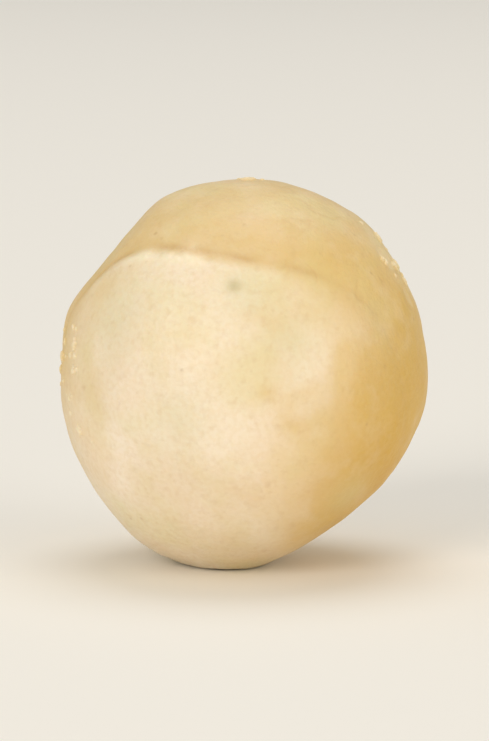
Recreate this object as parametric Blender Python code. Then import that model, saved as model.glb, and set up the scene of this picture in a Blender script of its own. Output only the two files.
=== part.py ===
"""A whole shelled macadamia kernel, built as the one solid that it grew as.

Its front faces -Y and it rests on a small flat spot at Z = 0. The kernel is a lopsided ball:
a smooth cap sits a little proud of the rest behind a shallow ledge, soft flats press into the
ball, and a small scar lies opposite the cap, where the kernel joined its shell.
"""

import math

import bmesh
import bpy
from mathutils import Vector, noise

MM = 0.001

# Overall size, in millimetres
WIDTH = 17.9
DEPTH = 17.6
HEIGHT = 18.7

# The ball before it is shaped, in millimetres from its centre
LONG_RADIUS = 9.75
SHORT_RADIUS = 9.2
LONG_AXIS = Vector((0.2, 0.15, 0.97)).normalized()
WAVE_HEIGHT = 0.14
WAVES_PER_RADIUS = 1.25
DIMPLE_HEIGHT = 0.07
DIMPLES_PER_RADIUS = 3.1

# Swells, and one broad hollow: the way each faces, its height in millimetres and its spread
SWELLS = (
    ((-0.93, -0.05, 0.38), 0.30, math.radians(12.0)),
    ((-0.48, -0.05, 0.88), 0.24, math.radians(14.0)),
    ((-0.50, -0.05, -0.86), 0.30, math.radians(14.0)),
    ((0.58, -0.05, -0.82), -0.86, math.radians(29.0)),
)

# The smooth cap: where it faces, how far it spreads and how proud it sits. Its outline is a
# circle with four low corners.
CAP_AXIS = Vector((-0.25, -0.85, -0.46)).normalized()
CAP_ANGLE = math.radians(74.2)
CORNERS = 4
CORNER_ANGLE = math.radians(3.6)
CORNER_TURN = math.radians(10.0)
CAP_RISE = 0.18
GROOVE_DEPTH = 0.07
GROOVE_WIDTH = 0.8

# The ledge around the cap is steepest at the top and fades around the sides
LEDGE_WIDTH = 0.8
LEDGE_TURN = math.radians(6.0)
LEDGE_SPREAD = math.radians(48.0)
LEDGE_FADED = 0.22

# The scar opposite the cap
SCAR_RADIUS = 2.1
SCAR_SLOPE = 1.3
SCAR_DEPTH = 0.3

# Soft flats: the way each faces, and its distance from the centre in millimetres
FLATS = (
    ((-0.77, 0.0, 0.64), 9.05),
    ((0.93, 0.36, 0.10), 9.2),
    ((-0.62, 0.74, -0.26), 9.1),
    ((0.36, 0.86, -0.36), 9.15),
)
FLAT_BLEND = 0.16

# The flat spot that it rests on, as a share of the ball's height cut away
REST_CUT = 0.013

GRID_CUTS = 22
SHORTEST_EDGE = 0.08


def smooth_step(value):
    value = min(max(value, 0.0), 1.0)
    return value * value * (3.0 - 2.0 * value)


def soft_lower(first, second, blend):
    """The lower of two radii, with their crossing rounded over the blend."""
    gap = abs(second - first) / blend
    return min(first, second) - blend * math.log1p(math.exp(-gap))


def ball_radius(direction):
    """A slightly long ball with low waves, faint dimples and a few swells."""
    along = direction.dot(LONG_AXIS)
    across = 1.0 - along * along
    radius = 1.0 / math.sqrt(along * along / LONG_RADIUS**2 + across / SHORT_RADIUS**2)
    radius += WAVE_HEIGHT * noise.noise(direction * WAVES_PER_RADIUS)
    radius += DIMPLE_HEIGHT * noise.noise(direction * DIMPLES_PER_RADIUS)
    for facing, height, spread in SWELLS:
        radius += height * math.exp(-((direction.angle(Vector(facing)) / spread) ** 2))
    return radius


def turn_about_cap(direction):
    """The angle around the cap's axis, from straight up."""
    up = Vector((0.0, 0.0, 1.0))
    up = (up - CAP_AXIS * up.dot(CAP_AXIS)).normalized()
    side = CAP_AXIS.cross(up)
    return math.atan2(direction.dot(side), direction.dot(up))


def cap_relief(direction):
    """The cap's step and the shallow groove around it."""
    turn = turn_about_cap(direction)
    edge = CAP_ANGLE - CORNER_ANGLE * math.cos(CORNERS * (turn + CORNER_TURN))
    outside = (direction.angle(CAP_AXIS) - edge) * SHORT_RADIUS
    strength = math.exp(-((turn - LEDGE_TURN) / LEDGE_SPREAD) ** 2)
    strength = LEDGE_FADED + (1.0 - LEDGE_FADED) * strength
    rise = CAP_RISE * smooth_step(0.5 - outside / LEDGE_WIDTH)
    groove = GROOVE_DEPTH * math.exp(-((outside - LEDGE_WIDTH) / GROOVE_WIDTH) ** 2)
    return strength * (rise - groove)


def scar_relief(direction):
    """A shallow dish with a flat floor."""
    away = direction.angle(-CAP_AXIS) * SHORT_RADIUS
    return -SCAR_DEPTH * smooth_step((SCAR_RADIUS - away) / SCAR_SLOPE)


def kernel_radius(direction):
    radius = ball_radius(direction) + cap_relief(direction)
    for facing, distance in FLATS:
        towards = direction.dot(Vector(facing).normalized())
        if towards > 0.0:
            radius = soft_lower(radius, distance / towards, FLAT_BLEND)
    return radius + scar_relief(direction)


def round_grid():
    """A ball of even four-sided faces, from a cube whose grid is spread over equal angles."""
    mesh = bmesh.new()
    bmesh.ops.create_cube(mesh, size=2.0)
    bmesh.ops.subdivide_edges(mesh, edges=mesh.edges, cuts=GRID_CUTS, use_grid_fill=True)
    for vert in mesh.verts:
        spread = Vector([math.tan(part * math.pi / 4.0) for part in vert.co])
        vert.co = spread.normalized()
    return mesh


def cut_rest_spot(mesh):
    """Cuts the ball level a little above its lowest point and closes it with one flat face."""
    low = min(vert.co.z for vert in mesh.verts)
    high = max(vert.co.z for vert in mesh.verts)
    level = low + REST_CUT * (high - low)
    cut = bmesh.ops.bisect_plane(
        mesh,
        geom=mesh.verts[:] + mesh.edges[:] + mesh.faces[:],
        plane_co=(0.0, 0.0, level),
        plane_no=(0.0, 0.0, -1.0),
        clear_outer=True,
    )
    rim = [item for item in cut["geom_cut"] if isinstance(item, bmesh.types.BMEdge)]
    spot = bmesh.ops.contextual_create(mesh, geom=rim)["faces"][0]
    for edge in spot.edges:
        edge.smooth = False
    bmesh.ops.remove_doubles(mesh, verts=mesh.verts, dist=SHORTEST_EDGE)


def fit_to_size(mesh):
    """Brings the kernel to its overall size, centred on X and Y, with its base at Z = 0."""
    low = Vector([min(vert.co[axis] for vert in mesh.verts) for axis in range(3)])
    high = Vector([max(vert.co[axis] for vert in mesh.verts) for axis in range(3)])
    span = high - low
    middle = (low + high) / 2.0
    bmesh.ops.translate(mesh, verts=mesh.verts, vec=(-middle.x, -middle.y, -low.z))
    scale = (WIDTH * MM / span.x, DEPTH * MM / span.y, HEIGHT * MM / span.z)
    bmesh.ops.scale(mesh, verts=mesh.verts, vec=scale)


def make_kernel():
    mesh = round_grid()
    for vert in mesh.verts:
        vert.co *= kernel_radius(vert.co)
    cut_rest_spot(mesh)
    fit_to_size(mesh)
    bmesh.ops.recalc_face_normals(mesh, faces=mesh.faces)
    data = bpy.data.meshes.new("kernel")
    mesh.to_mesh(data)
    mesh.free()
    data.shade_smooth()
    kernel = bpy.data.objects.new("kernel", data)
    bpy.context.scene.collection.objects.link(kernel)
    return kernel


def kernel_flesh():
    """Raw, dry kernel: pale cream with a faint oily sheen."""
    material = bpy.data.materials.new("kernel_flesh")
    material.use_nodes = True
    shader = material.node_tree.nodes["Principled BSDF"]
    shader.inputs["Base Color"].default_value = (0.82, 0.66, 0.40, 1.0)
    shader.inputs["Roughness"].default_value = 0.5
    shader.inputs["Metallic"].default_value = 0.0
    return material


def main():
    for item in list(bpy.data.objects):
        bpy.data.objects.remove(item)
    kernel = make_kernel()
    kernel.data.materials.append(kernel_flesh())


main()
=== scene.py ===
import math
import random

import bmesh
import bpy
from mathutils import Matrix, Vector, noise


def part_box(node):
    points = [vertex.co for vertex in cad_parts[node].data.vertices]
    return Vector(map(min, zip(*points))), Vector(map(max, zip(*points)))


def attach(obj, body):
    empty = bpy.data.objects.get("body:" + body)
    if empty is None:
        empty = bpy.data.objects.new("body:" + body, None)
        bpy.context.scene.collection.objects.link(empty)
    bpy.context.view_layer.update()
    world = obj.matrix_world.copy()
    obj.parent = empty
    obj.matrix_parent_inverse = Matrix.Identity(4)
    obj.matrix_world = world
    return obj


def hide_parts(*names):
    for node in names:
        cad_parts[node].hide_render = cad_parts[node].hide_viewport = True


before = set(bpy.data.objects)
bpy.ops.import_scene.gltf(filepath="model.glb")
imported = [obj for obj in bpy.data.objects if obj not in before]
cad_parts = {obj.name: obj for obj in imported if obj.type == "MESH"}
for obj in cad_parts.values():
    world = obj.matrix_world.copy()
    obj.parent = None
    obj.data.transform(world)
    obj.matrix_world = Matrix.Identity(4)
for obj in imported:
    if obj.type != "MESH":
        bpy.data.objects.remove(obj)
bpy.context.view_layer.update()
mm = 0.001
kernelLow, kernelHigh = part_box("kernel")
print("frame loaded, kernel", [round(size / mm, 2) for size in kernelHigh - kernelLow], "mm")


def smoothStep(value):
    # 0 to 1 with eased ends
    value = min(max(value, 0.0), 1.0)
    return value * value * (3.0 - 2.0 * value)


def bell(distance, width):
    # 1 in the middle, falling away smoothly over the width
    return math.exp(-(distance / width) ** 2)


def linearColor(hexColor):
    # an sRGB hex colour as the linear numbers that a socket takes
    linear = []
    for at in (1, 3, 5):
        part = int(hexColor[at:at + 2], 16) / 255.0
        linear.append(part / 12.92 if part <= 0.04045 else ((part + 0.055) / 1.055) ** 2.4)
    return (*linear, 1.0)


def addNode(tree, kind, settings, links):
    node = tree.nodes.new(kind)
    for name, value in settings.items():
        setattr(node, name, value)
    for name, value in links.items():
        if isinstance(value, bpy.types.NodeSocket):
            tree.links.new(value, node.inputs[name])
        else:
            node.inputs[name].default_value = value
    return node


# The kernel is a ball a little squeezed along X, Y and Z. Its sizes are in mm.
macadamia = {
    # the ball, and the smooth cap that sits a little proud of it behind a curved ledge
    "ballMiddle": Vector((0.045, 0.027, 9.179)),
    "ballSqueeze": Vector((0.972, 0.9475, 0.978)),
    "ballRadius": 9.2,
    "capAxis": Vector((-0.25, -0.85, -0.46)).normalized(),
    "capAngle": math.radians(74.2),
    "corners": 4,
    "cornerAngle": math.radians(3.6),
    "cornerTurn": math.radians(10.0),
    "ledgeTurn": math.radians(6.0),
    "ledgeSpread": math.radians(48.0),
    "ledgeFaded": 0.22,  # the share of the ledge that is left at the cap's sides
    # the mesh
    "weldGap": 0.001,
    "levels": 2,  # rounds of splitting that round the solid's faces
    "fineBand": 1.05,  # faces this near the ledge are split once more
    # unevenness: how wide, where its noise starts, how high, and how much higher outside the cap
    "waves": (
        (3.1, (0.0, 0.0, 0.0), 0.052, 0.0),
        (1.7, (0.0, 2.0, 4.0), 0.034, 0.0),
        (0.85, (0.0, 0.0, 0.0), 0.011, 0.010),
        (0.42, (0.0, 0.0, 0.0), 0.0025, 0.0065),
    ),
    # veins on the cap, folds outside it, drawn-in hairlines, and the ledge's line, nicks and lip
    "veins": 17,
    "veinHeight": 0.004,
    "folds": 38,
    "foldHeight": 0.007,
    "hairlineDepth": 0.016,
    "grooveOut": 0.5,  # how far outside the ledge the line at its foot lies
    "grooveDepth": 0.060,
    "nickDepth": 0.055,
    "lipTurn": math.radians(14.0),
    "lipSpread": math.radians(26.0),
    "lipHeight": 0.022,
    "pitDepth": 0.018,
    "pitDepthAdded": 0.025,  # how much deeper the pits are outside the cap
    # the dull dot under the ledge: which way it faces, its radius and its depth
    "eye": (Vector((-0.06, -0.82, 0.57)).normalized(), 0.40, 0.04),
    # the scar opposite the cap
    "scarRadius": 2.1,
    "scarRim": 0.05,
    "scarPuckers": 13,
    "puckerHeight": 0.020,
    "scarPit": 0.12,
    # shallow hollows, tinted green and darkened as painted shade on the cap: which way each faces,
    # its radius and its depth
    "hollows": (
        ((-0.34, -0.92, -0.12), 1.6, 0.045),
        ((0.24, -0.92, 0.31), 1.2, 0.030),
        ((-0.66, -0.62, 0.40), 1.7, 0.025),
        ((0.02, -0.84, 0.52), 1.3, 0.012),
        ((0.55, -0.62, -0.56), 1.4, 0.030),
        ((0.82, 0.10, 0.56), 1.6, 0.040),
        ((-0.85, 0.45, 0.28), 1.3, 0.035),
        ((-0.20, 0.90, -0.38), 1.7, 0.040),
    ),
    # crumbs lie in patches: which way each faces, how wide it is, how many it has
    "crumbPatches": (
        ((-0.97, -0.22, 0.12), 2.6, 16),
        ((-0.90, -0.40, -0.20), 1.6, 5),
        ((0.05, 0.04, 0.99), 0.9, 6),
        ((0.74, -0.10, 0.66), 1.9, 11),
        ((-0.30, 0.60, 0.74), 2.0, 7),
        ((0.72, 0.58, -0.38), 1.8, 7),
    ),
    "crumbWidest": 0.27,
    "crumbHighest": 0.13,
    # chips: which way each faces, its radius, its depth, and how fresh and pale it is
    "chips": (
        (Vector((-0.70, 0.66, 0.28)).normalized(), 0.95, 0.11, 0.6),
        (Vector((0.74, -0.20, 0.64)).normalized(), 0.80, 0.04, 0.5),
        (Vector((0.87, -0.22, 0.44)).normalized(), 0.70, 0.04, 0.4),
        (Vector((-0.27, -0.60, 0.75)).normalized(), 0.30, 0.04, 0.6),
    ),
    # golden flanks, partly browning and partly painted shade: which way each faces, where the brown
    # starts, how strong it is
    "toastAndShadeWays": (
        (Vector((0.90, -0.28, -0.33)).normalized(), 0.37, 1.0),
        (Vector((0.58, -0.66, 0.48)).normalized(), 0.78, 0.35),
        (Vector((0.48, -0.87, -0.02)).normalized(), 0.88, 0.62),
        (Vector((0.10, -0.60, -0.79)).normalized(), 0.66, 0.08),
        (Vector((-0.97, 0.05, 0.16)).normalized(), 0.58, 0.38),
        (Vector((0.30, 0.88, 0.36)).normalized(), 0.62, 0.55),
    ),
    # a deep gold patch low on one flank, partly painted shade, and a painted milky highlight low on
    # the other
    "deepWay": Vector((0.74, -0.42, -0.53)).normalized(),
    "deepRadius": 5.4,
    "milkWay": Vector((-0.40, -0.80, -0.44)).normalized(),
    "milkRadius": 4.8,
    # colours of the flesh and of what lies on it, and how it takes the light
    "capCream": "#f1e2c7",
    "skinGold": "#dfc38b",
    "strawGreen": "#e3d7a0",
    "pinkCream": "#f2d9bd",
    "toastAndShadeGold": "#d9b255",
    "deepGoldAndShade": "#d0a133",
    "milkHighlightCream": "#f7e8d6",
    "recessShadeTan": "#bf9257",
    "lineTan": "#c79f66",
    "lipHighlightCream": "#fcf1cf",
    "mottleAndShadeGreen": "#d9d2a6",
    "eyeGray": "#a79c66",
    "scarTan": "#c39a5f",
    "scarBrown": "#a17443",
    "mealCream": "#f5e6c6",
    "freshFlesh": "#ecd9b0",
    "fleckBrown": "#ad8047",
    "ior": 1.46,
    "roughness": 0.44,
    "glow": 0.14,  # how much of the light goes into the flesh and out again
    "glowDepth": 0.8,
    "glowColors": (1.0, 0.62, 0.30),  # red light goes deepest into the flesh
}


def directionOf(point):
    # the way a point on the skin faces from the ball's middle, with the squeeze taken out
    away = point / mm - macadamia["ballMiddle"]
    unsqueezed = [part / squeeze for part, squeeze in zip(away, macadamia["ballSqueeze"])]
    return Vector(unsqueezed).normalized()


def capUp():
    # straight up, laid flat against the cap
    axis = macadamia["capAxis"]
    up = Vector((0.0, 0.0, 1.0))
    return (up - axis * up.dot(axis)).normalized()


def placeOnCap(direction):
    # the turn round the cap from straight up, and how far outside the ledge, in mm
    up = capUp()
    side = macadamia["capAxis"].cross(up)
    turn = math.atan2(direction.dot(side), direction.dot(up))
    corner = math.cos(macadamia["corners"] * (turn + macadamia["cornerTurn"]))
    edge = macadamia["capAngle"] - macadamia["cornerAngle"] * corner
    return turn, (direction.angle(macadamia["capAxis"]) - edge) * macadamia["ballRadius"]


def ledgeShare(turn):
    # the ledge is steepest at the top of the cap and fades round its sides
    share = bell(turn - macadamia["ledgeTurn"], macadamia["ledgeSpread"])
    return macadamia["ledgeFaded"] + (1.0 - macadamia["ledgeFaded"]) * share


def awayFrom(direction, middle):
    # how far along the skin one way is from another, in mm
    return direction.angle(middle) * macadamia["ballRadius"]


def skinHeight(point, turn, outside, rough):
    # broad unevenness, then a fine peel that is rougher outside the cap
    size = point / mm
    height = 0.0
    for wide, start, high, added in macadamia["waves"]:
        height += (high + added * rough) * (noise.noise(size / wide + Vector(start)) - 1.0)
    # faint veins run out from the middle of the cap, and finer folds run on towards the scar
    fromMiddle = outside + macadamia["capAngle"] * macadamia["ballRadius"]
    veins = math.sin(macadamia["veins"] * turn + 5.0 * noise.noise(size / 2.6)) - 1.0
    folds = math.sin(macadamia["folds"] * turn + 6.0 * noise.noise(size / 1.9)) - 1.0
    veinHeight = macadamia["veinHeight"] * smoothStep((fromMiddle - 1.5) / 4.0)
    height += veinHeight * smoothStep(-outside / 3.0) * veins
    foldShare = smoothStep((outside - 1.2) / 2.0) * smoothStep(0.5 + noise.noise(size / 2.4))
    return height + macadamia["foldHeight"] * foldShare * folds


def hairlineHeight(point, rough):
    # thin wandering lines in the skin, where it has dried and drawn in, darkened by painted shade
    size = point / mm
    drawn = noise.noise(size / 2.3 + Vector((1.0, 6.0, 2.0)))
    fine = noise.noise(size / 1.1 + Vector((5.0, 1.0, 8.0)))
    some = smoothStep((noise.noise(size / 3.6) + 0.02) / 0.25)
    line = rough * bell(drawn + 0.25 * fine, 0.026) * some
    return -macadamia["hairlineDepth"] * line, line


def ledgeHeight(point, turn, outside):
    # a crisp line at the foot of the ledge, and small nicks along its lip; the line's colour share
    # is painted shadow under the ledge
    size = point / mm
    strength = ledgeShare(turn)
    wander = outside + 0.16 * noise.noise(size / 1.5)
    broken = smoothStep(0.75 + noise.noise(size / 1.6 + Vector((3.0, 3.0, 0.0))))
    foot = wander - macadamia["grooveOut"]
    line = macadamia["grooveDepth"] * strength * broken * bell(foot, 0.20)
    nick = smoothStep((noise.noise(size / 0.8 + Vector((0.0, 0.0, 5.0))) - 0.10) / 0.30)
    height = -line - macadamia["nickDepth"] * strength * nick * bell(wander + 0.05, 0.35)
    return height, strength * broken * bell(foot, 0.26)


def lipHeight(point, turn, outside):
    # the lip of the cap stands up a little, and its share paints a pale highlight along it, more in
    # some places than others
    wander = outside + 0.16 * noise.noise(point / mm / 1.5)
    highlightPatches = smoothStep((noise.noise(point / mm / 1.9 + Vector((2.0, 0.0, 6.0))) + 0.35) / 0.6)
    share = bell(turn - macadamia["lipTurn"], macadamia["lipSpread"])
    share *= highlightPatches * bell(wander + 0.30, 0.34)
    return macadamia["lipHeight"] * share, share


def pitHeight(point, rough):
    # pinholes, sparse and in loose groups, darkened by painted shade
    size = point / mm
    grouped = smoothStep((noise.noise(size / 2.9 + Vector((8.0, 3.0, 1.0))) + 0.02) / 0.22)
    pit = grouped * bell(noise.voronoi(size / 1.5)[0][0], 0.10)
    return -(macadamia["pitDepth"] + macadamia["pitDepthAdded"] * rough) * pit, pit


def scatterCrumbs():
    # fine meal from other kernels, pressed onto the skin in a few places
    dice = random.Random(11)
    crumbs = []
    for facing, radius, count in macadamia["crumbPatches"]:
        middle = Vector(facing).normalized()
        side = middle.cross(Vector((0.3, 0.2, 0.9))).normalized()
        for number in range(count):
            out = radius * math.sqrt(dice.random()) / macadamia["ballRadius"]
            turned = Matrix.Rotation(math.tau * dice.random(), 3, middle) @ side
            size = macadamia["crumbWidest"] * (0.35 + 0.65 * dice.random() ** 1.5)
            crumbs.append(((middle * math.cos(out) + turned * math.sin(out)).normalized(), size))
    return crumbs


kernelCrumbs = scatterCrumbs()


def crumbHeight(direction, point):
    height = 0.0
    share = 0.0
    for facing, radius in kernelCrumbs:
        if direction.dot(facing) < 0.995:
            continue
        size = point / mm
        away = awayFrom(direction, facing)
        away += radius * (0.7 * noise.noise(size / 0.20) + 0.4 * noise.noise(size / 0.09))
        shape = smoothStep(1.35 - away / radius)
        highest = macadamia["crumbHighest"] * shape * radius / macadamia["crumbWidest"]
        height = max(height, highest)
        share = max(share, shape)
    return height, share


def scarHeight(direction, point):
    # where the kernel was attached: a dish with an uneven rim, a puckered floor and a small pit
    size = point / mm
    away = awayFrom(direction, -macadamia["capAxis"])
    if away > 2.4 * macadamia["scarRadius"]:
        return 0.0, 0.0
    radius = macadamia["scarRadius"] * (1.0 + 0.30 * noise.noise(size / 1.6))
    floor = smoothStep((radius - away) / 0.9)
    rough = 0.030 * (noise.noise(size / 0.38) - 1.0) + 0.045 * (noise.noise(size / 0.8) - 1.0)
    turn = placeOnCap(direction)[0]
    pucker = math.sin(macadamia["scarPuckers"] * turn + 4.0 * noise.noise(size / 1.1))
    pucker *= macadamia["puckerHeight"] * bell(away - radius, 0.9)
    rim = macadamia["scarRim"] * bell(away - radius, 0.5) * noise.noise(size / 0.9)
    pit = macadamia["scarPit"] * bell(away, 0.4)
    shade = smoothStep((radius + 0.4 - away) / 1.3) * (0.7 + 0.6 * noise.noise(size / 0.9))
    return floor * rough + pucker + rim - pit, min(max(shade, 0.0), 1.0)


def chipHeight(direction, point):
    # thin flakes broken away, with ragged edges
    height = 0.0
    share = 0.0
    for facing, radius, depth, fresh in macadamia["chips"]:
        away = awayFrom(direction, facing)
        if away < 2.0 * radius:
            size = point / mm
            ragged = radius * (1.0 + 0.5 * noise.noise(size / 0.9) + 0.2 * noise.noise(size / 0.35))
            inside = smoothStep((ragged - away) / 0.3)
            height -= depth * inside * (1.0 + 0.35 * noise.noise(size / 0.5))
            share = max(share, fresh * inside)
    return height, share


def eyeHeight(direction):
    facing, radius, depth = macadamia["eye"]
    away = awayFrom(direction, facing)
    lip = 0.3 * depth * bell(away - 1.7 * radius, 0.5 * radius)
    return lip - depth * bell(away, radius), bell(away, 0.9 * radius)


def hollowHeight(direction):
    height = 0.0
    shade = 0.0
    for facing, radius, depth in macadamia["hollows"]:
        share = bell(awayFrom(direction, Vector(facing)), radius)
        height -= depth * share
        shade = max(shade, share)
    return height, shade


def capColorShare(point, turn, outside):
    # the pale cap ends sharply at the ledge's top, and blends away round its sides
    wander = noise.noise(point / mm / 2.7 + Vector((4.0, 0.0, 1.0)))
    fade = 1.0 - smoothStep((ledgeShare(turn) - macadamia["ledgeFaded"]) / 0.6)
    width = 0.9 + 5.0 * fade
    return smoothStep(0.5 - (outside + (0.15 + 1.2 * fade) * wander + 1.0 * fade) / width)


def toastAndShadeShare(direction, point):
    # some flanks are more golden than the rest, partly from browning and partly as painted shade
    wander = 0.12 * noise.noise(point / mm / 3.0) + 0.05 * noise.noise(point / mm / 1.2)
    share = 0.0
    for facing, start, strength in macadamia["toastAndShadeWays"]:
        browned = smoothStep((direction.dot(facing) + wander - start) / (1.0 - start))
        share = max(share, strength * browned)
    return share


def patchShare(direction, point, name):
    # a patch with a wandering edge: deep gold with painted shade low on one flank, a painted milky
    # highlight low on the other side
    away = awayFrom(direction, macadamia[name + "Way"]) + 1.6 * noise.noise(point / mm / 2.2)
    return bell(max(away, 0.0), macadamia[name + "Radius"])


# one attribute for each share of colour that the material reads
skinShades = (
    "cap", "groove", "lip", "hairline", "pit", "scar", "eye",
    "crumb", "chip", "hollow", "toastAndShade", "milk", "deep",
)


def shapeSkin(mesh):
    shades = {name: [0.0] * len(mesh.vertices) for name in skinShades}
    for at, vert in enumerate(mesh.vertices):
        point = vert.co.copy()
        direction = directionOf(point)
        turn, outside = placeOnCap(direction)
        rough = smoothStep(0.5 + outside / 0.9)
        found = {
            "groove": ledgeHeight(point, turn, outside),
            "lip": lipHeight(point, turn, outside),
            "hairline": hairlineHeight(point, rough),
            "pit": pitHeight(point, rough),
            "scar": scarHeight(direction, point),
            "eye": eyeHeight(direction),
            "crumb": crumbHeight(direction, point),
            "chip": chipHeight(direction, point),
            "hollow": hollowHeight(direction),
        }
        height = skinHeight(point, turn, outside, rough) + sum(mark[0] for mark in found.values())
        # the spot that it rests on stays flat
        height *= smoothStep((point.z - kernelLow.z) / mm / 0.35)
        vert.co = point + direction * height * mm
        for name, mark in found.items():
            shades[name][at] = mark[1]
        shades["cap"][at] = capColorShare(point, turn, outside)
        shades["toastAndShade"][at] = toastAndShadeShare(direction, point)
        shades["milk"][at] = patchShare(direction, point, "milk")
        shades["deep"][at] = patchShare(direction, point, "deep")
    for name in skinShades:
        layer = mesh.attributes.new(name, "FLOAT", "POINT")
        layer.data.foreach_set("value", shades[name])


def keepInBox(mesh):
    for vert in mesh.vertices:
        for axis in range(3):
            vert.co[axis] = min(max(vert.co[axis], kernelLow[axis]), kernelHigh[axis])


def nearMarks(direction):
    return (
        abs(placeOnCap(direction)[1] - 0.3) < macadamia["fineBand"]
        or awayFrom(direction, macadamia["eye"][0]) < 1.2
        or awayFrom(direction, -macadamia["capAxis"]) < 1.4 * macadamia["scarRadius"]
        or any(awayFrom(direction, chip[0]) < chip[1] + 0.6 for chip in macadamia["chips"])
    )


def nearCrumbs(direction):
    return any(awayFrom(direction, facing) < 1.7 * radius for facing, radius in kernelCrumbs)


def splitFine(bm, near):
    # the ledge, the marks and the crumbs need a finer mesh than the plain skin
    fine = set()
    for face in bm.faces:
        if near(directionOf(face.calc_center_median())):
            fine.update(face.edges)
    bmesh.ops.subdivide_edges(bm, edges=list(fine), cuts=1, use_grid_fill=True)


def kernelSkin():
    # a copy of the solid, made of four-sided faces again, then rounded and shaped
    bm = bmesh.new()
    bm.from_mesh(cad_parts["kernel"].data)
    gap = macadamia["weldGap"] * mm
    bmesh.ops.remove_doubles(bm, verts=bm.verts, dist=gap)
    # the spot that it rests on becomes one face
    low = kernelLow.z + gap
    level = [face for face in bm.faces if all(vert.co.z < low for vert in face.verts)]
    bmesh.ops.dissolve_faces(bm, faces=level)
    bmesh.ops.join_triangles(
        bm,
        faces=bm.faces,
        angle_face_threshold=math.radians(40.0),
        angle_shape_threshold=math.radians(60.0),
    )
    mesh = bpy.data.meshes.new("kernelRound")
    bm.to_mesh(mesh)
    bm.free()
    extra = [layer for layer in mesh.attributes if not layer.is_required and not layer.is_internal]
    for name in [layer.name for layer in extra]:
        mesh.attributes.remove(mesh.attributes[name])
    mesh.materials.clear()
    rough = bpy.data.objects.new("kernelRound", mesh)
    bpy.context.scene.collection.objects.link(rough)
    rounder = rough.modifiers.new("round", "SUBSURF")
    rounder.levels = rounder.render_levels = macadamia["levels"]
    graph = bpy.context.evaluated_depsgraph_get()
    skin = bpy.data.meshes.new_from_object(rough.evaluated_get(graph))
    bpy.data.objects.remove(rough)
    bm = bmesh.new()
    bm.from_mesh(skin)
    splitFine(bm, nearMarks)
    splitFine(bm, nearCrumbs)
    splitFine(bm, nearCrumbs)
    # faces left with more than four corners where fine meets plain are fanned out
    manySided = [face for face in bm.faces if len(face.verts) > 4]
    bmesh.ops.poke(bm, faces=manySided)
    bm.to_mesh(skin)
    bm.free()
    shapeSkin(skin)
    keepInBox(skin)
    skin.shade_smooth()
    skin.name = "macadamiaKernel"
    return bpy.data.objects.new("macadamiaKernel", skin)


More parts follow.
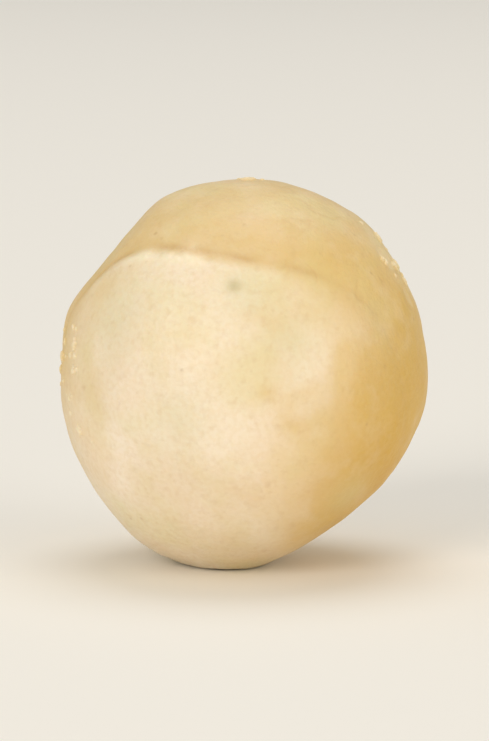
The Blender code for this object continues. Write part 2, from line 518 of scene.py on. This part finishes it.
def kernelFlesh():
    # Raw macadamia kernel, dried and tumbled: dense and oily, so it looks satin and a little
    # see-through at its edges, with a smooth pale cap and a duller golden skin around it
    material = bpy.data.materials.new("rawKernelTumbled")
    material.use_nodes = True
    tree = material.node_tree
    shader = tree.nodes["Principled BSDF"]
    place = tree.nodes.new("ShaderNodeTexCoord").outputs["Object"]
    share = {}
    for name in skinShades:
        read = {"attribute_name": name}
        share[name] = addNode(tree, "ShaderNodeAttribute", read, {}).outputs["Fac"]

    # clouds of colour in the flesh: size in mm, detail, where each starts and is full, its most
    clouds = {
        "goldCloud": (4.2, 2.0, 0.46, 0.66, 0.50),
        "strawCloud": (3.3, 2.0, 0.48, 0.66, 0.55),
        "pinkCloud": (2.6, 2.0, 0.50, 0.68, 0.45),
        "blots": (1.3, 4.0, 0.50, 0.70, 0.40),
        # oil cells are about 0.05 mm, drawn five times coarser so that they show
        "cells": (0.25, 3.0, 0.42, 0.62, 0.40),
        "darkCells": (0.34, 3.0, 0.52, 0.70, 0.40),
    }
    for at, (name, (size, detail, start, end, most)) in enumerate(clouds.items()):
        ends = {"Vector": place, "W": 3.7 * at, "Scale": 1.0 / (size * mm), "Detail": detail}
        cloud = addNode(tree, "ShaderNodeTexNoise", {"noise_dimensions": "4D"}, ends).outputs["Fac"]
        ends = {"Value": cloud, "From Min": start, "From Max": end, "To Max": most}
        share[name] = addNode(tree, "ShaderNodeMapRange", {}, ends).outputs["Result"]

    # pinpoint flecks of dried skin, about 0.2 mm across
    ends = {"Vector": place, "Scale": 1.0 / (0.95 * mm)}
    away = addNode(tree, "ShaderNodeTexVoronoi", {}, ends).outputs["Distance"]
    ends = {"Value": away, "From Min": 0.04, "From Max": 0.15, "To Min": 1.0, "To Max": 0.0}
    share["flecks"] = addNode(tree, "ShaderNodeMapRange", {}, ends).outputs["Result"]

    # shares that depend on one another
    products = {
        "fleckBlots": ("flecks", "blots", 2.6),
        "toastAndShadeCloud": ("toastAndShade", "goldCloud", 1.4),
        "scarBlots": ("scar", "darkCells", 2.2),
        "hollowCap": ("hollow", "cap", 0.5),
        "milkHighlightCap": ("milk", "cap", 1.0),
    }
    times = {"operation": "MULTIPLY"}
    timesClamped = {"operation": "MULTIPLY", "use_clamp": True}
    for name, (first, second, strength) in products.items():
        both = addNode(tree, "ShaderNodeMath", times, {0: share[first], 1: share[second]})
        ends = {0: both.outputs[0], 1: strength}
        share[name] = addNode(tree, "ShaderNodeMath", timesClamped, ends).outputs[0]

    layers = (
        ("cap", 1.0, macadamia["capCream"]),
        # painted milky highlight low on the lit flank
        ("milkHighlightCap", 0.95, macadamia["milkHighlightCream"]),
        ("goldCloud", 0.66, macadamia["skinGold"]),
        ("strawCloud", 0.75, macadamia["strawGreen"]),
        ("pinkCloud", 0.55, macadamia["pinkCream"]),
        # golden flanks, partly browning and partly painted shade
        ("toastAndShade", 0.92, macadamia["toastAndShadeGold"]),
        # deep gold, partly browning and partly painted shade low on the flank away from the key
        # light
        ("deep", 0.88, macadamia["deepGoldAndShade"]),
        # uneven gold on those flanks, partly browning and partly painted shade
        ("toastAndShadeCloud", 0.8, macadamia["toastAndShadeGold"]),
        # green mottling, partly painted shade in the hollows on the cap
        ("hollowCap", 0.8, macadamia["mottleAndShadeGreen"]),
        ("blots", 0.5, macadamia["capCream"]),
        ("cells", 0.45, macadamia["skinGold"]),
        ("darkCells", 0.35, macadamia["lineTan"]),
        # painted shadow along the foot of the ledge
        ("groove", 0.40, macadamia["recessShadeTan"]),
        # painted highlight along the cap's lip
        ("lip", 0.55, macadamia["lipHighlightCream"]),
        # painted shade in the drawn-in hairlines
        ("hairline", 0.22, macadamia["lineTan"]),
        # painted shade in the pinholes
        ("pit", 0.28, macadamia["recessShadeTan"]),
        ("fleckBlots", 0.65, macadamia["fleckBrown"]),
        ("scar", 0.80, macadamia["scarTan"]),
        ("scarBlots", 0.6, macadamia["scarBrown"]),
        ("chip", 0.75, macadamia["freshFlesh"]),
        ("crumb", 0.65, macadamia["mealCream"]),
        ("eye", 0.42, macadamia["eyeGray"]),
    )
    base = addNode(tree, "ShaderNodeRGB", {}, {})
    base.outputs[0].default_value = linearColor(macadamia["skinGold"])
    color = base.outputs[0]
    for name, strength, hexColor in layers:
        amount = addNode(tree, "ShaderNodeMath", times, {0: share[name], 1: strength})
        # sockets 6 and 7 are the Mix node's two colours
        ends = {0: amount.outputs[0], 6: color, 7: linearColor(hexColor)}
        color = addNode(tree, "ShaderNodeMix", {"data_type": "RGBA"}, ends).outputs[2]
    tree.links.new(color, shader.inputs["Base Color"])

    # the cap is a little glossier than the skin, and meal and broken flesh are dull
    duller = {"cap": -0.03, "blots": 0.20, "cells": 0.12, "crumb": 0.30, "chip": 0.22, "scar": 0.28}
    timesPlus = {"operation": "MULTIPLY_ADD"}
    roughness = macadamia["roughness"]
    for name, change in duller.items():
        ends = {0: share[name], 1: change, 2: roughness}
        roughness = addNode(tree, "ShaderNodeMath", timesPlus, ends).outputs[0]
    tree.links.new(roughness, shader.inputs["Roughness"])

    # the grain that is finer than the mesh: pores in the skin and the cells under it
    ends = {"Vector": place, "Scale": 1.0 / (0.22 * mm), "Detail": 4.0}
    grain = addNode(tree, "ShaderNodeTexNoise", {}, ends).outputs["Fac"]
    ends = {"Height": grain, "Strength": 0.75, "Distance": 0.045 * mm}
    fine = addNode(tree, "ShaderNodeBump", {}, ends)
    tree.links.new(fine.outputs["Normal"], shader.inputs["Normal"])
    shader.inputs["IOR"].default_value = macadamia["ior"]
    shader.inputs["Subsurface Weight"].default_value = macadamia["glow"]
    shader.inputs["Subsurface Radius"].default_value = macadamia["glowColors"]
    shader.inputs["Subsurface Scale"].default_value = macadamia["glowDepth"] * mm
    return material


kernel = kernelSkin()
kernel.data.materials.append(kernelFlesh())
bpy.context.scene.collection.objects.link(kernel)
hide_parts("kernel")
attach(kernel, "root")
print("kernel made,", sum(len(face.vertices) - 2 for face in kernel.data.polygons), "triangles")

studio = {
    "floorRadius": 3.0,
    "floorColor": "#f6f3ec",
    "roomColor": "#fbf8f2",
    "roomStrength": 0.48,
    "lens": 300.0,
    "kernelShare": 0.76,
    "elevation": math.radians(8.0),
    "sensor": 36.0,
    # soft round lights: place in metres from the middle of the floor, width, power, colour
    "lights": {
        "keyLight": ((-0.56, -0.93, 0.50), 0.60, 5.7, "#fffaf2"),
        "fillLight": ((0.90, -0.60, 0.35), 0.80, 3.6, "#fff6e8"),
        "topLight": ((0.05, 0.30, 1.10), 0.80, 3.6, "#ffffff"),
    },
}


def makeFloor():
    bm = bmesh.new()
    bmesh.ops.create_circle(bm, cap_ends=True, segments=96, radius=studio["floorRadius"])
    mesh = bpy.data.meshes.new("floor")
    bm.to_mesh(mesh)
    bm.free()
    floor = bpy.data.objects.new("floor", mesh)
    bpy.context.scene.collection.objects.link(floor)
    # pale matt paper
    paper = bpy.data.materials.new("mattPaper")
    paper.use_nodes = True
    tree = paper.node_tree
    shader = tree.nodes["Principled BSDF"]
    place = tree.nodes.new("ShaderNodeTexCoord").outputs["Object"]
    ends = {"Vector": place, "Scale": 1.0 / (0.8 * mm), "Detail": 3.0}
    fibres = addNode(tree, "ShaderNodeTexNoise", {}, ends).outputs["Fac"]
    ends = {"Height": fibres, "Strength": 0.1, "Distance": 0.02 * mm}
    bump = addNode(tree, "ShaderNodeBump", {}, ends)
    shader.inputs["Base Color"].default_value = linearColor(studio["floorColor"])
    shader.inputs["Roughness"].default_value = 0.85
    tree.links.new(bump.outputs["Normal"], shader.inputs["Normal"])
    mesh.materials.append(paper)


def makeLight(name, place, size, power, color):
    data = bpy.data.lights.new(name, "AREA")
    data.shape = "DISK"
    data.size = size
    data.energy = power
    data.color = linearColor(color)[:3]
    light = bpy.data.objects.new(name, data)
    light.location = place
    toLight = Vector(place) - (kernelLow + kernelHigh) / 2.0
    light.rotation_euler = toLight.to_track_quat("Z", "Y").to_euler()
    bpy.context.scene.collection.objects.link(light)


def makeRoom():
    world = bpy.data.worlds.new("room")
    world.use_nodes = True
    back = world.node_tree.nodes["Background"]
    back.inputs["Color"].default_value = linearColor(studio["roomColor"])
    back.inputs["Strength"].default_value = studio["roomStrength"]
    bpy.context.scene.world = world
    for name, (place, size, power, color) in studio["lights"].items():
        makeLight(name, place, size, power, color)
    bpy.context.scene.view_settings.view_transform = "Standard"


def makeCamera():
    data = bpy.data.cameras.new("camera")
    data.sensor_fit = "HORIZONTAL"
    data.sensor_width = studio["sensor"]
    data.lens = studio["lens"]
    data.clip_start = 0.01
    wide = (kernelHigh.x - kernelLow.x) / studio["kernelShare"]
    distance = wide * studio["lens"] / studio["sensor"]
    camera = bpy.data.objects.new("camera", data)
    tilt = studio["elevation"]
    middle = (kernelLow + kernelHigh) / 2.0
    camera.location = middle + Vector((0.0, -math.cos(tilt), math.sin(tilt))) * distance
    camera.rotation_euler = (math.pi / 2.0 - tilt, 0.0, 0.0)
    bpy.context.scene.collection.objects.link(camera)
    bpy.context.scene.camera = camera


makeFloor()
makeRoom()
makeCamera()
print("floor, lights and camera placed")
